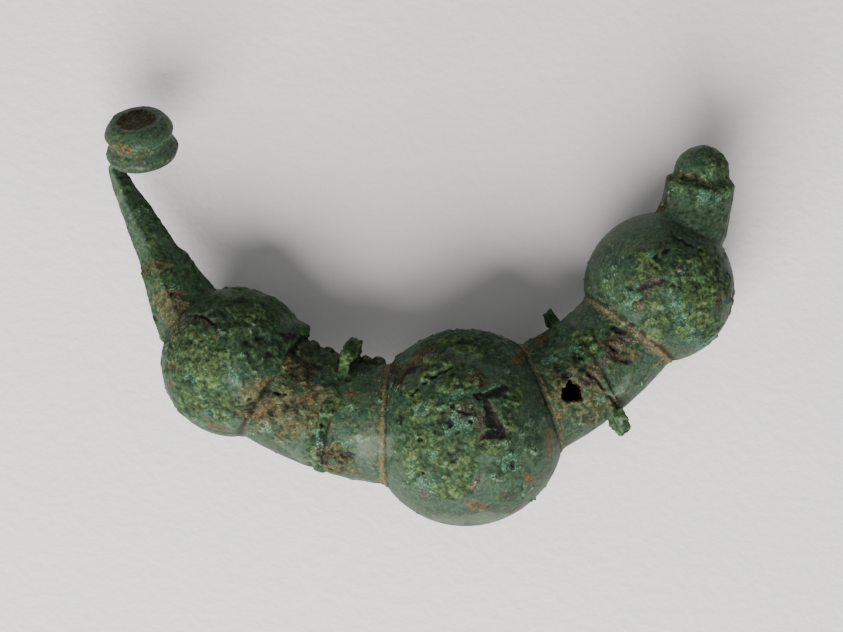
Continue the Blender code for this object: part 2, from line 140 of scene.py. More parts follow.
OLIVE_PATCHES = [
    (2, -5.2, 1.3, 0.6, 10), (1.3, -6.7, 1, 0.5, 35), (4.3, -5, 1.6, 0.7, 0), (4, -8, 2, 0.9, 0),
    (-0.6, -10.5, 1.2, 2.2, 0), (0.5, -14.4, 1.7, 1.8, 0), (-0.9, -16.3, 0.9, 1.6, 0),
    (2.7, -16.2, 1.3, 1, 0), (3.6, -19.2, 2, 1.3, 0), (7.7, -14.5, 2, 0.9, 10), (9.7, -11.9, 0.8, 1.6, -20),
    (10.4, -8.9, 0.7, 1, 0), (4.8, -16.6, 0.9, 1, 0), (1.9, -10.4, 1.1, 0.8, 0), (-25.4, -2.4, 2.7, 1, 0),
    (-25.1, -5.1, 3.8, 1.7, -5), (-23.4, -7.3, 1.9, 0.8, -5), (-25.9, -10, 1.9, 1, -20),
    (-22.3, -11.1, 1.1, 1.4, 0), (-19.2, 0.5, 2, 0.9, 0), (-9.9, -9.2, 0.8, 1.2, 0),
    (-8.9, -5.2, 1.2, 1.5, -20), (-11.6, -12.6, 0.8, 1.1, 0), (-11.7, -16.6, 0.8, 1, 0),
    (-7.2, -13.7, 0.7, 0.7, 0), (-5.2, -10.7, 0.7, 0.8, 0), (-8.4, -10.5, 0.7, 0.5, 0),
    (31.6, 3.7, 2.9, 3.7, 0), (25.9, 5.5, 1.4, 1.2, 0), (27.3, -1.5, 1.5, 1.6, 0), (32, -0.4, 1.5, 0.9, 0),
    (26.3, 1.3, 0.9, 0.7, 0), (30, -1.8, 0.9, 0.8, 0), (20.9, 4.2, 0.7, 1.2, 0), (33.1, 17.6, 1, 0.9, 0),
    (29.1, 15.5, 0.8, 1.3, 0), (34.8, 15.3, 0.6, 2.3, 0), (22, -10.6, 2.7, 0.6, -56),
    (18.8, -3.2, 1.6, 0.9, -40), (15.9, -3.3, 1.4, 0.7, 0), (-31.4, 20.1, 1.6, 0.5, 0),
    (-30.9, 8.3, 0.9, 0.9, 0), (22.4, -3.5, 1.2, 1, 0),
]
# Dark crust. The patch at 32.2, 11.4 on the head's neck is painted shade, darkening the neck where it slopes
# away from the lamp.
DARK_PATCHES = [
    (4.8, -2.6, 5.4, 0.9, 0), (8.1, -4.6, 1.8, 1.4, 0), (0, -4.4, 1.1, 0.7, 20), (-20.4, 0.9, 6, 2, 0),
    (-16.9, -3.3, 2.9, 2.7, 0), (-13.6, -4.1, 2.3, 1.8, 0), (-11.5, -6.3, 2, 1.8, 0),
    (13.6, -3.8, 2.3, 1.6, 0), (19.2, -3.8, 1.4, 1.8, -45), (21.8, -1.6, 1.5, 0.8, 0),
    (29.9, 8.3, 1.6, 0.8, -25), (21.5, -3.3, 0.9, 1.6, -40), (10.8, -3.8, 0.9, 2.3, 20),
    (12.9, -13.9, 1, 2.7, 0), (9.5, -17.2, 2, 1.6, 0), (-6.2, -6, 1.4, 0.7, 0), (32.2, 11.4, 3.4, 2, -15),
    (-19, -6, 1.6, 2, 0),
]
TURQUOISE_PATCHES = [
    (4.8, -9, 1.6, 0.4, 10), (4.6, -12.4, 1.3, 1.3, 0), (1.4, -15.8, 1, 0.5, 0), (0.6, -19, 0.9, 0.8, 0),
    (10.2, -16.4, 0.8, 1.1, 0), (8.2, -8, 1.6, 0.3, 20), (0.1, -10.5, 0.9, 0.9, 0),
    (-20.9, -6.8, 0.5, 1.1, 0), (-25.9, -7.2, 0.9, 0.9, 0), (-22.3, -12.7, 0.7, 0.6, 0),
    (-24, -11.2, 0.9, 0.6, 0), (-17.6, -12.9, 0.7, 0.3, -30), (24.4, 2.4, 1.1, 1.1, 0),
    (22.6, 1.6, 1.6, 0.4, -45), (26.2, 6.7, 0.8, 0.6, 0), (29.6, -0.7, 0.8, 0.6, 0),
    (31.9, -2.9, 2, 0.9, 0), (29.3, 1.3, 0.9, 0.7, 0), (15, -5, 0.9, 0.7, 0), (17.5, -3.8, 1.6, 1, 0),
    (20.4, -9.5, 0.6, 1, -56), (-32.3, 19.4, 2.4, 0.3, -8), (-29.5, 17.5, 0.8, 0.5, 0),
    (-8, -10.6, 0.8, 0.3, 0), (-8.4, -14, 0.7, 0.3, 0), (-9.3, -6.8, 0.9, 0.6, 0),
    (-11.3, -14, 0.6, 0.9, 0), (-29.6, 3, 0.6, 0.5, 0), (-28.2, 3.2, 0.7, 0.5, 0),
    (33.4, 13.4, 1.6, 0.8, 0),
]
TAN_PATCHES = [
    (-15.5, -10.8, 4.7, 2.7, -20), (-17.9, -9.8, 1.6, 1, 0), (-19.2, -8.3, 1.2, 0.4, 0),
    (17.8, -8.3, 2.7, 2.4, 0), (15.8, -11.4, 1, 1, 0), (19.5, -7, 1.4, 1.6, -30),
    (-28.4, 0.6, 2.1, 3.2, 30), (-29.8, 5.5, 1.6, 1, 0), (-11.5, -8.9, 1.8, 1.4, 0),
    (-9.4, -15.7, 1.6, 1.2, 0), (14, -10.4, 0.4, 1.3, 0), (20.4, -10.6, 0.9, 1.4, 0),
    (-34.4, 19, 1.4, 0.9, 0), (-8.5, -17.5, 2.3, 0.6, -10),
]
BROWN_PATCHES = [
    (-1.3, -6.1, 2.1, 1.3, 25), (0.3, -4.2, 1.6, 0.6, 25), (-13, -6.3, 2.5, 1.8, -20),
    (-9.4, -15.9, 1.6, 1.1, 0), (-17.6, -11, 1.6, 0.9, 0), (6.6, -7, 1, 0.9, 0), (-30.8, 5.4, 1, 0.8, 0),
    (27.9, 12.8, 0.7, 0.6, 40), (36, 0.9, 0.5, 1, -10), (22.7, -5.2, 1.1, 0.8, 0), (33.8, 1.1, 0.7, 1, 0),
    (-27.7, 2.4, 1.6, 0.9, 0), (13.7, -2.9, 1.1, 0.9, 0), (21.5, -3.3, 1.4, 1.4, 0),
]
ORANGE_PATCHES = [
    (12.3, -18.4, 0.9, 0.6, 35), (6.4, -21.4, 1.3, 0.6, 0), (-17.3, -7.4, 0.9, 0.4, 35),
    (-8, -9, 0.7, 0.3, 0), (-4.3, -14.4, 0.5, 0.4, 0), (-4.4, -16.9, 0.5, 0.4, 0),
    (10.6, -22.4, 1.4, 0.4, 35), (24.2, -4.7, 0.8, 0.5, 30), (27.7, -4, 1.1, 0.5, -35),
    (14.9, -14.5, 0.6, 1.8, 0), (-23.4, -12.6, 1.2, 0.3, -20), (-19.6, -12.7, 0.5, 0.3, -20),
    (-28.3, -5.6, 0.3, 0.5, 0), (-28, -7.8, 0.3, 0.5, 0), (-12.4, -9.5, 1, 0.4, 15),
    (-33.6, 18.9, 1, 0.6, -20), (-18.3, -11.3, 0.7, 0.4, 0), (19.2, -5.7, 0.6, 0.5, -45),
    (21.3, -8.4, 0.8, 0.3, -10), (22, -9.7, 0.8, 0.5, 30), (11, -4.6, 0.7, 0.8, 0),
    (-14.7, -5.2, 0.5, 0.3, 0),
]
# Pale marks. The long band low on the middle ball, the two patches low on the foot-side collar and the thin
# line on the knob's front rim are painted highlights where these faces catch the lamp; the small spots are
# pale spots on the surface.
PALE_PATCHES = [
    (-5.3, -14.9, 2.2, 1.7, 0), (5.7, -23, 5.2, 0.7, 0), (-13.6, -15.8, 3.4, 0.5, -27),
    (13.7, -10, 0.3, 0.4, 0), (-14.9, -11.6, 0.3, 0.3, 0), (22.7, -8.4, 1.8, 0.9, 40),
    (-32, 16.9, 2, 0.2, 0),
]
PURPLE_PATCHES = [
    (0.7, -20, 0.9, 0.6, -40), (6.1, -19, 0.6, 0.7, 0), (2, -17.6, 0.6, 0.4, 0), (5.1, -11.2, 1.6, 1.3, 0),
    (6.9, -11.6, 0.8, 1.5, 10), (25.9, 3.6, 1.6, 0.8, 10), (24.8, 0.9, 1, 1, 0), (-11, -14.7, 0.7, 1.7, 0),
    (20, -6.3, 0.9, 2.9, -40), (22.9, -3.3, 1.8, 1.6, -40), (-23, -1.6, 0.4, 1.2, 0),
    (-24.3, -0.4, 1.8, 0.5, 0), (29.6, 5.2, 0.7, 0.5, 0),
]
BLACK_PATCHES = [
    (4.9, -10.7, 0.8, 0.25, -10), (3.4, -12.1, 0.3, 0.5, 0), (4.3, -12.9, 0.4, 0.25, 20),
    (5.6, -11.7, 0.3, 0.25, 0), (3.6, -15.3, 0.3, 0.25, 0), (4, -16.2, 0.5, 0.25, 30),
    (35.9, 2.5, 0.3, 0.9, -10), (28.6, 3.3, 0.25, 0.25, 0), (22.7, -1.6, 1.1, 0.35, -20),
    (23.4, -5.2, 0.7, 0.45, 20), (21.9, -3.6, 0.7, 0.3, -40), (-8, -15.7, 0.9, 0.3, 0),
    (-10.7, -16.7, 0.6, 0.4, 0), (-15, -2.3, 1, 0.3, -15), (-30.4, -0.4, 0.3, 0.5, 35),
    (-1.2, -6.1, 1.2, 0.5, 25), (-28.3, 2.3, 0.25, 0.4, 0), (10.5, -16.7, 0.35, 0.6, 0),
    (16.5, -6.9, 0.6, 0.3, 0),
]
HOLLOW_PATCHES = [
    (-1.3, -6.1, 2, 1.2, 25),
]

# Lines on the surface: points in mm, seen from above where they have no height, then half width.
CRACK_LINES = [
    ([(-21.1, -9.7, 16), (-19.5, -8.9, 16.2), (-17.8, -8.7, 15.7), (-15.2, -8.8, 15.6)], 0.16),
    ([(-0.9, -8.8, 19.8), (0.9, -7.4, 20.1), (2.5, -6.2, 20), (3.4, -5.8, 19.9)], 0.2),
    ([(11.6, -19.2, 18), (11.5, -20, 17.1), (11.6, -21, 15.4)], 0.16),
    ([(17.8, -4.3, 15.7), (19.2, -6.1, 16.1), (20.7, -8.1, 15.7), (22.4, -10, 14.3)], 0.26),
    ([(-26.9, -0.2, 12.6), (-25.6, 0.2, 13.5), (-24, -0.1, 14.8), (-23.3, -0.9, 15.7)], 0.16),
    ([(-11.1, -12.3, 16.9), (-10.8, -13.5, 16.8), (-11.3, -14.9, 16.1), (-11.6, -16.1, 14.7)], 0.18),
]
STAIN_LINES = [
    ([(6.5, -9.1), (7.7, -8.7), (9.6, -8.1)], 0.5),
    ([(7.5, -9.2), (7.8, -10.4), (8.3, -11.5)], 0.42),
    ([(8.1, -11.4), (8.7, -12.6)], 0.66),
    ([(7.2, -13.3), (8.3, -13.1), (9.3, -12.9)], 0.62),
]
STREAK_LINES = [
    ([(3, -9.3), (5, -8.8), (6, -9.3)], 0.16),
    ([(2, -10.3), (3.4, -9.7)], 0.14),
    ([(3.6, -11.6), (5, -11.2), (6.6, -11.8)], 0.15),
    ([(3.8, -13.1), (5.6, -13.4)], 0.14),
    ([(0.4, -15), (1.9, -15.4)], 0.15),
    ([(0, -18.4), (1.8, -20)], 0.18),
    ([(9.4, -8.1), (9.9, -8.9)], 0.12),
    ([(10.2, -15.6), (10.8, -17)], 0.16),
    ([(-21.5, -5.9), (-20.6, -6.7), (-20.8, -7.9)], 0.16),
    ([(23, 2.6), (24.6, 3.4)], 0.18),
    ([(28.2, 2.2), (29.8, 0.6)], 0.14),
]
SCRATCH_LINES = [
    ([(26.7, 6.5), (27.6, 6.9), (28.4, 7.5)], 0.24),
    ([(29.1, 9), (30.2, 8.3), (31.8, 7.3)], 0.2),
    ([(24.7, 3.1), (26.3, 3.5), (27.6, 4.1)], 0.26),
    ([(25, 1.6), (25.6, 2.2)], 0.26),
]
ORANGE_LINES = [
    ([(-8.7, -9.2, 16.3), (-9.3, -10.3, 16.5), (-9.8, -11.4, 16.6), (-10.1, -12.6, 16.4)], 0.22),
    ([(-7.3, -8.7, 16.1), (-5.4, -8.6, 16.1), (-3.8, -9, 16.8)], 0.16),
]
TURQUOISE_LINES = [
    ([(20.4, -1.9, 15), (21.7, -1, 14.8), (23.2, -0.2, 15.3)], 0.16),
    # Along the head's ledge: a turquoise line that is painted highlight on the ledge's edge.
    ([(28.8, 14.2, 12.1), (30.7, 14.3, 13.6), (32.5, 14, 13.8), (33.7, 13.1, 13.2)], 0.16),
]
RIB_LINES = [
    ([(0.9, -5), (1.8, -4.9), (2.8, -5.1)], 0.45),
    ([(0.6, -7.1), (1.3, -6.5), (2.2, -5.9)], 0.5),
    ([(3.4, -4.2), (5.2, -3.9), (6.8, -4.3)], 0.4),
    ([(2.2, -3.1), (4.4, -2.7), (6, -2.9)], 0.35),
]
HEAD_GROOVE = [
    ([(28.8, 15.9, 11.1), (30.2, 16.1, 12.6), (31.9, 15.4, 13.4), (33.4, 14.3, 13.7),
      (34.7, 13.2, 12.6)], 0.5),
]
HEAD_LEDGE = [
    ([(28.4, 14.4, 11.3), (30, 14.6, 13.3), (31.8, 14.1, 13.9), (33.5, 13, 13.3),
      (34.5, 12.1, 12.4)], 0.36),
]
RIM_LINES = [
    ([(22.3, -10.3, 14.3), (25.1, -7.6, 12.7), (26.8, -5.7, 12.6), (28.2, -4.5, 12.2)], 0.22),
]


def smooth(low, high, values):
    """0 below low, 1 above high and an even rise between. Falls instead where low is above high."""
    t = np.clip((values - low) / (high - low), 0, 1)
    return t * t * (3 - 2 * t)


def cell_value(cell, seed):
    """Repeatable number from 0 to 1 for each whole-number cell."""
    n = cell[:, 0] * 374761393 + cell[:, 1] * 668265263 + cell[:, 2] * 982451653 + seed * 1446652271
    n = (n ^ (n >> 13)) & 0xFFFFFFFF
    n = (n * 1274126177) & 0xFFFFFFFF
    n = ((n ^ (n >> 16)) * 668265263) & 0xFFFFFFFF
    return ((n ^ (n >> 15)) & 0xFFFFFF) / 0xFFFFFF


TURN = np.array(((0.36, 0.48, -0.8), (-0.8, 0.6, 0.0), (0.48, 0.64, 0.6)))


def noise(points, size, seed=0):
    """Smooth noise from -1 to 1 with lumps about size across."""
    scaled = points @ TURN / size + seed * 17.3
    corner = np.floor(scaled)
    part = scaled - corner
    part = part * part * (3 - 2 * part)
    corner = corner.astype(np.int64)
    total = np.zeros(len(points))
    for step in np.ndindex(2, 2, 2):
        weight = np.ones(len(points))
        for axis in range(3):
            weight *= part[:, axis] if step[axis] else 1 - part[:, axis]
        total += weight * cell_value(corner + np.array(step), seed)
    return total * 2 - 1


def layered(points, size, layers=3, seed=0):
    """Noise with finer and weaker layers added, from about -1 to 1."""
    total, height = np.zeros(len(points)), 1.0
    for layer in range(layers):
        total += noise(points, size / 2**layer, seed + layer) * height
        height *= 0.5
    return total / 1.3


def ridged(points, size, layers=3, seed=0):
    """Noise with sharp crests and rounded valleys, from about -1 to 1."""
    total, height, weight = np.zeros(len(points)), 1.0, 0.0
    for layer in range(layers):
        total += (1 - 2 * np.abs(noise(points, size / 2**layer, seed + layer))) * height
        weight += height
        height *= 0.55
    return total / weight - 0.35


def lumps(points, size, seed=0):
    """Rounded lumps about size across: 1 on top and 0 in the crevices. Also each lump's own number."""
    scaled = points @ TURN.T / size
    corner = np.floor(scaled).astype(np.int64)
    nearest = np.full(len(points), 9.0)
    second = np.full(len(points), 9.0)
    own = np.zeros(len(points))
    for step in np.ndindex(3, 3, 3):
        cell = corner + np.array(step) - 1
        away = np.zeros(len(points))
        for axis in range(3):
            spot = cell[:, axis] + cell_value(cell, seed * 3 + axis + 1)
            away += (scaled[:, axis] - spot) ** 2
        away = np.sqrt(away)
        closer = away < nearest
        second = np.where(closer, nearest, np.minimum(second, away))
        own = np.where(closer, cell_value(cell, seed + 91), own)
        nearest = np.where(closer, away, nearest)
    return np.clip((second - nearest) * 1.6, 0, 1) ** 0.6, own


def patches(points, entries):
    """1 in the middle of the patches, a half at their given sizes and 0 well outside them."""
    level = np.zeros(len(points))
    for x, y, half_length, half_width, turn in entries:
        c, s = math.cos(math.radians(turn)), math.sin(math.radians(turn))
        dx, dy = points[:, 0] - x, points[:, 1] - y
        along = (dx * c + dy * s) / half_length
        across = (dy * c - dx * s) / half_width
        level = np.maximum(level, 1.5 - np.hypot(along, across))
    return np.minimum(level, 1)


def worn(level, grain, soft=0.1):
    """A mask from a level, with an edge at a half that a grain breaks up."""
    return smooth(0.5 - soft, 0.5 + soft, level + grain)


def lines(points, entries):
    """1 on the lines, falling to 0 at their half width."""
    mask = np.zeros(len(points))
    for route, half_width in entries:
        away = np.full(len(points), 99.0)
        for start, end in zip(route, route[1:]):
            a, b = np.array(start), np.array(end)
            spoke = points[:, :len(a)] - a
            share = np.clip(spoke @ (b - a) / ((b - a) @ (b - a)), 0, 1)
            away = np.minimum(away, np.linalg.norm(spoke - share[:, None] * (b - a), axis=1))
        mask = np.maximum(mask, smooth(half_width * 1.35, half_width * 0.6, away))
    return mask


def bow_coordinates(points):
    """Turn round the bow in degrees from the middle ball, and distance from the bow's axis."""
    x, y = points[:, 0] - ARC_CENTRE[0], points[:, 1] - ARC_CENTRE[1]
    turn = (np.degrees(np.arctan2(y, x)) - MIDDLE_HEADING + 540) % 360 - 180
    share = np.clip(np.abs(turn) / BALL_SPACING, 0, 1)
    ease = share * share * (3 - 2 * share)
    end_height = np.where(turn < 0, BALLS["foot"][0][2], BALLS["head"][0][2])
    height = BALLS["middle"][0][2] * (1 - ease) + end_height * ease
    return turn, np.hypot(np.hypot(x, y) - ARC_RADIUS, points[:, 2] - height)


def ball_distance(points, name):
    """How far each point is outside a ball."""
    centre, radius = BALLS[name]
    return np.linalg.norm(points - np.array(centre), axis=1) - radius


def collar_distance(side, turn, away):
    """How far each point is outside the collar's own surface."""
    start, end = COLLARS[side]
    share = np.clip((np.abs(turn) - COLLAR_START) / COLLAR_LENGTH, 0, 1)
    return away - (start + (end - start) * share)


def unit(direction):
    return np.array(direction) / np.linalg.norm(direction)


def remeshed(node, voxel):
    """Fine even mesh of a CAD node, in mm."""
    mesh = node.data.copy()
    mesh.transform(Matrix.Scale(MM_PER_METRE, 4))
    obj = bpy.data.objects.new("fibula_surface", mesh)
    bpy.context.collection.objects.link(obj)
    grid = obj.modifiers.new("grid", "REMESH")
    grid.mode = "VOXEL"
    grid.voxel_size = voxel
    grid.adaptivity = 0.0
    replace_by_result(obj)
    return obj


def replace_by_result(obj):
    """Puts the mesh that an object's modifiers make in place of its own."""
    bpy.context.view_layer.update()
    graph = bpy.context.evaluated_depsgraph_get()
    mesh = bpy.data.meshes.new_from_object(obj.evaluated_get(graph))
    obj.modifiers.clear()
    obj.data = mesh


def read_points(mesh):
    points = np.empty(len(mesh.vertices) * 3)
    normals = np.empty(len(mesh.vertices) * 3)
    mesh.vertices.foreach_get("co", points)
    mesh.vertices.foreach_get("normal", normals)
    return points.reshape(-1, 3), normals.reshape(-1, 3)


def true_balls(points):
    """Moves points close to a ball's facets onto the ball itself, but not where it rests on the table."""
    for centre, radius in BALLS.values():
        spoke = points - np.array(centre)
        length = np.linalg.norm(spoke, axis=1)
        near = smooth(BALL_SLACK, BALL_SLACK * 0.6, np.abs(length - radius))
        near *= smooth(0.1, 0.5, points[:, 2])
        points = points + spoke / length[:, None] * ((radius - length) * near)[:, None]
    return points


def textures(points):
    """Noises and lumps that the zones, the covers and the relief share."""
    wide_warp = np.stack([noise(points, 1.6, 31 + i) for i in range(3)], axis=1)
    fine_warp = np.stack([noise(points, 0.55, 41 + i) for i in range(3)], axis=1)
    t = SimpleNamespace()
    t.bent = points + 0.6 * wide_warp + 0.3 * fine_warp
    t.slightly_bent = points + 0.2 * wide_warp + 0.2 * fine_warp
    t.broad = layered(points, 5.0, 3, 3)
    t.middling = layered(points, 1.5, 3, 9)
    t.fine = layered(points, 0.6, 2, 15)
    t.big_lump, t.big_own = lumps(t.bent, 1.3, 5)
    t.small_lump, t.small_own = lumps(t.bent, 0.6, 8)
    t.grain, _ = lumps(t.slightly_bent, 0.42, 11)
    t.crest = ridged(t.bent, 1.3, 3, 61)
    t.ragged = 0.45 * t.middling + 0.4 * t.fine
    return t


def seams(points, turn, side, t):
    """The raised seams between balls and collars, a wider band round them and the crease beside them."""
    in_bow = smooth(BALL_SPACING + 2, BALL_SPACING, np.abs(turn))
    seam, band, crease = np.zeros(len(points)), np.zeros(len(points)), np.zeros(len(points))
    for name, (foot_share, head_share) in SEAM_SHARES.items():
        ball = ball_distance(points, name)
        share = np.where(turn < BALL_TURNS[name], foot_share, head_share) * in_bow
        apart = np.hypot(ball, side * 1.2) + 0.12 * t.middling + 0.06 * t.fine
        seam = np.maximum(seam, smooth(0.36, 0.16, apart) * share)
        band = np.maximum(band, smooth(1.7, 0.3, apart + 0.4 * t.middling) * share)
        crease = np.maximum(crease, smooth(0.3, 0.1, np.abs(apart - 0.5)) * (ball < side) * in_bow)
    return seam, band, crease


def discs(points, side):
    """What stands of the thin discs, and the collar just beside them."""
    disc, disc_foot = np.zeros(len(points)), np.zeros(len(points))
    for centre, axis in DISCS.values():
        spoke = points - np.array(centre)
        flat = np.abs(spoke @ unit(axis))
        near = np.linalg.norm(spoke, axis=1) < DISC_REACH
        disc = np.maximum(disc, near * smooth(1.0, 0.75, flat) * smooth(0.2, 0.5, side))
        disc_foot = np.maximum(disc_foot, near * smooth(1.5, 0.8, flat) * smooth(0.6, 0.1, np.abs(side)))
    return disc, disc_foot


def zones(points, normals, t):
    """Which form of the brooch each point lies on."""
    z = SimpleNamespace()
    turn, away = bow_coordinates(points)
    side = np.where(turn < 0, collar_distance("foot", turn, away), collar_distance("head", turn, away))
    z.up = smooth(-0.35, 0.1, normals[:, 2])
    z.below = 1 - z.up
    on_ball = {name: smooth(0.6, 0.2, np.abs(ball_distance(points, name))) for name in BALLS}
    on_any_ball = np.maximum.reduce(list(on_ball.values()))
    z.seam, z.seam_band, z.crease = seams(points, turn, side, t)
    z.disc, z.disc_foot = discs(points, side)

    axis = unit(KNOB_AXIS)
    spoke = points - np.array(KNOB_CENTRE)
    z.rise = spoke @ axis
    spread = np.linalg.norm(spoke - z.rise[:, None] * axis, axis=1)
    z.on_knob = (z.rise > KNOB_BACK) * (spread < KNOB_REACH) * 1.0
    z.plain = 1 - z.on_knob
    z.cup = z.on_knob * smooth(2.4, 2.15, spread + 0.1 * t.fine) * smooth(3.3, 3.65, z.rise)
    z.waist = z.on_knob * smooth(3.8, 3.5, spread) * smooth(0.75, 0.4, np.abs(z.rise - KNOB_GROOVE_RISE))
    from_front = np.abs(z.rise - KNOB_FRONT_RISE + 0.15 * t.middling)
    z.front_rim = z.on_knob * smooth(0.5, 0.2, from_front) * smooth(3.1, 3.5, spread)

    z.on_stem = smooth(STEM_START, STEM_START + 3, -turn) * z.plain * (1 - on_ball["foot"])
    slope = normals[:, :2] @ np.array(STEM_FAR_SIDE)
    z.far_facet = z.on_stem * smooth(-0.05, 0.3, slope)
    z.near_facet = z.on_stem * smooth(0.0, 0.5, -slope + 0.25 * t.middling)
    z.on_head = smooth(14.0, 15.5, points[:, 1] + 0.3 * points[:, 0] - 8.0) * (points[:, 0] > HEAD_LEAST_X)
    from_hole = np.linalg.norm(points[:, :2] - np.array(HOLE), axis=1)
    z.hole_rim = smooth(3.0, 1.4, from_hole + 0.5 * t.middling) * (points[:, 2] > HOLE_RIM_HEIGHT)
    z.inside = smooth(0.25, 0.6, -side) * (np.abs(turn) < COLLAR_START + COLLAR_LENGTH) * (on_any_ball == 0)
    return z


def covers(points, t, z):
    """Where each crust, dirt or stain lies, and where shade and highlights are painted, from 0 to 1. Edges
    are soft, and the material breaks them up.
    """
    def patchy(entries, share, grain, soft):
        return worn(patches(t.bent, entries) * z.up * share, grain, soft)

    crust_level = patches(t.bent, CRUST_PATCHES) * z.up + (0.35 + 0.5 * t.broad) * z.below
    # The stem's far facet, turned from the lamp, gets crust and dark: partly its own mottled crust, partly
    # painted shade.
    crust_level = np.maximum(crust_level, 0.55 * z.far_facet)
    olive_level = patches(t.bent, OLIVE_PATCHES) * z.up + (0.25 + 0.5 * t.broad) * z.below
    dark_level = patches(t.bent, DARK_PATCHES) * z.up * 0.9 + (0.2 - 0.5 * t.broad) * z.below
    crust = worn(crust_level, t.ragged * 0.9, 0.2)
    olive = worn(olive_level, 0.75 * t.ragged + 0.3 * (t.big_own - 0.5), 0.16)
    dark = np.maximum(worn(dark_level, t.ragged, 0.3), 0.4 * z.far_facet)
    tan = patchy(TAN_PATCHES, 1.0, t.ragged * 1.2, 0.3) * 0.9
    tan = np.maximum(tan, 0.5 * worn(z.seam_band * 0.8, t.ragged, 0.3))
    brown = patchy(BROWN_PATCHES, 0.85, t.ragged, 0.3) * 0.9
    orange = patchy(ORANGE_PATCHES, 0.9, 0.5 * t.ragged, 0.3)
    orange_line = lines(t.slightly_bent, ORANGE_LINES) * smooth(-0.6, 0.3, t.middling) * 0.8
    # Pale spots, and painted highlights on faces that catch the lamp.
    pale = patchy(PALE_PATCHES, 0.8, 0.4 * t.middling, 0.4)
    black = worn(patches(t.slightly_bent, BLACK_PATCHES) * z.up * 0.9, 0.4 * t.ragged, 0.2)
    stain = 0.95 * lines(0.5 * (t.bent + t.slightly_bent), STAIN_LINES) * z.up
    scratch = lines(t.slightly_bent, SCRATCH_LINES) * z.up * smooth(-0.8, 0.0, t.fine)
    vein = smooth(0.2, 0.6, ridged(t.bent, 0.9, 2, 51))
    turquoise = np.maximum.reduce([
        patchy(TURQUOISE_PATCHES, 0.8, t.ragged * 1.2, 0.35),
        crust * vein * smooth(-0.1, 0.5, t.fine) * 0.45,
        lines(t.slightly_bent, TURQUOISE_LINES) * smooth(-0.5, 0.1, t.fine),
        lines(t.slightly_bent, STREAK_LINES) * z.up * smooth(-0.6, 0.0, t.fine),
    ])

    # Lines that are drawn by themselves, then the covers with what the knob, the discs and the stem change.
    c = SimpleNamespace()
    c.hollow = smooth(0.3, 1.0, patches(t.bent, HOLLOW_PATCHES)) * z.up
    c.crack = lines(t.slightly_bent, CRACK_LINES) * smooth(-0.7, -0.1, t.fine)
    c.rib = lines(t.slightly_bent, RIB_LINES) * z.up
    c.ledge = lines(t.bent, HEAD_LEDGE)
    c.groove = lines(t.slightly_bent, HEAD_GROOVE)
    c.rim = lines(t.slightly_bent, RIM_LINES) * smooth(-0.7, 0.0, t.middling)
    c.seam = np.maximum(z.seam * smooth(-1.1, -0.3, t.middling + 0.6 * t.broad), c.rim)
    c.orange = np.maximum(orange, orange_line)
    c.purple = patchy(PURPLE_PATCHES, 0.85, t.ragged, 0.3)
    c.turquoise = np.maximum(turquoise * z.plain, z.front_rim * smooth(-0.9, 0.1, t.fine) * 0.7)
    c.crust = np.maximum(crust * z.plain, z.disc)
    # Painted shade: the collar in the groove round each disc's foot is darkened.
    c.dark = np.maximum(dark * z.plain, z.disc_foot * (1 - z.disc) * 0.6)
    waist_tan = z.waist * smooth(-0.4, 0.3, t.middling - 0.3 * (points[:, 0] + 33)) * 0.7
    c.tan = np.maximum(tan * (1 - z.disc), waist_tan)
    c.brown = np.maximum.reduce([brown * z.plain, z.cup, z.inside, c.groove * 0.7])
    c.black = np.maximum.reduce([
        black, worn(stain, 0.45 * t.ragged, 0.2), c.crack * 0.85, scratch * 0.75,
        z.cup * smooth(0.2, 0.6, t.middling) * 0.4,
    ])
    # Pale patina and painted light on the stem's facet that faces the lamp.
    pale_lit_facet = 0.8 * z.near_facet * (1 - c.tan) * (1 - c.brown) * smooth(-0.5, 0.4, t.fine + t.broad)
    c.pale = np.maximum(pale, pale_lit_facet)
    disc_olive = z.disc * worn(0.42 * np.ones(len(points)), t.middling, 0.25) * 0.6
    knob_olive = z.on_knob * worn(0.35 * smooth(2.0, 3.2, z.rise), t.ragged, 0.2) * 0.6
    olive = np.maximum.reduce([olive * z.plain, disc_olive, c.rib * 0.9, knob_olive])
    c.olive = olive * ((1 - c.seam) * (1 - c.orange) * (1 - c.black))
    return c


COVER_NAMES = ("crust", "olive", "dark", "turquoise", "tan", "orange", "brown", "pale", "purple", "black",
               "seam")


